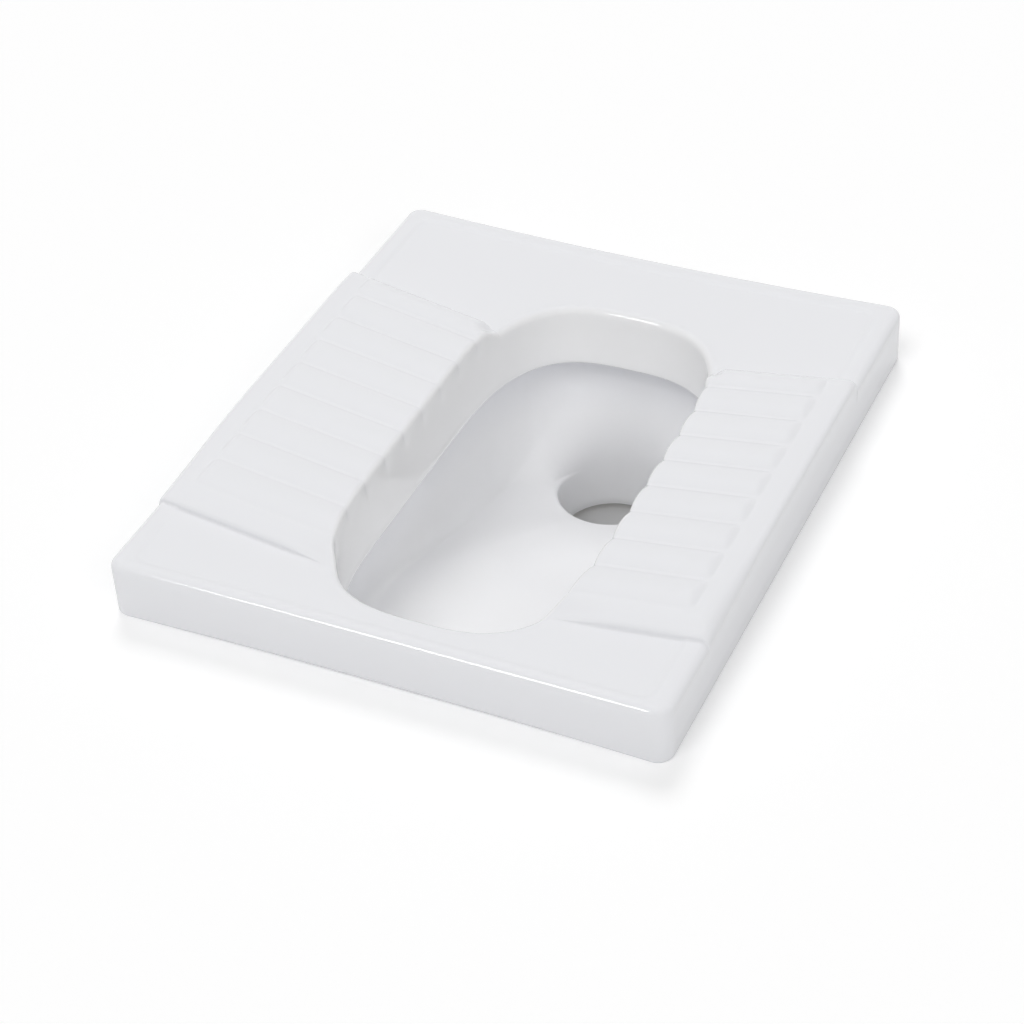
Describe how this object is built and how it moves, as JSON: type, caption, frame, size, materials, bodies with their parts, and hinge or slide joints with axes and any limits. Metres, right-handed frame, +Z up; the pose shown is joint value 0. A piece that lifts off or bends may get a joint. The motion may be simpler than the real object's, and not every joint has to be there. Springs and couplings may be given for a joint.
{
  "type": "squat toilet pan",
  "caption": "White glazed squat toilet pan with a rectangular deck, ribbed foot treads, a deep oval well, a box rim, a rear flush inlet and a straight spigot outlet.",
  "frame": {"origin": "on the finished floor, at the plan centre of the deck, in the plane of the skirt's underside", "axes": "+Z up, +Y to the rear (flush inlet and outlet end), +X to the right seen from the front"},
  "size_m": [0.43, 0.5033, 0.2105],
  "materials": {
    "china": "glossy white glaze",
    "seal": "matt black rubber"
  },
  "bodies": {
    "root": {"deck": "china", "left_tread": "china", "right_tread": "china", "rim": "china", "flush_channel": "china", "flow_splitter": "china", "bowl": "china", "outlet_horn": "china", "inlet_horn": "china", "inlet_seal": "seal", "outlet_seal": "seal", "left_underside_ribs": "china", "right_underside_ribs": "china"}
  },
  "joints": []
}
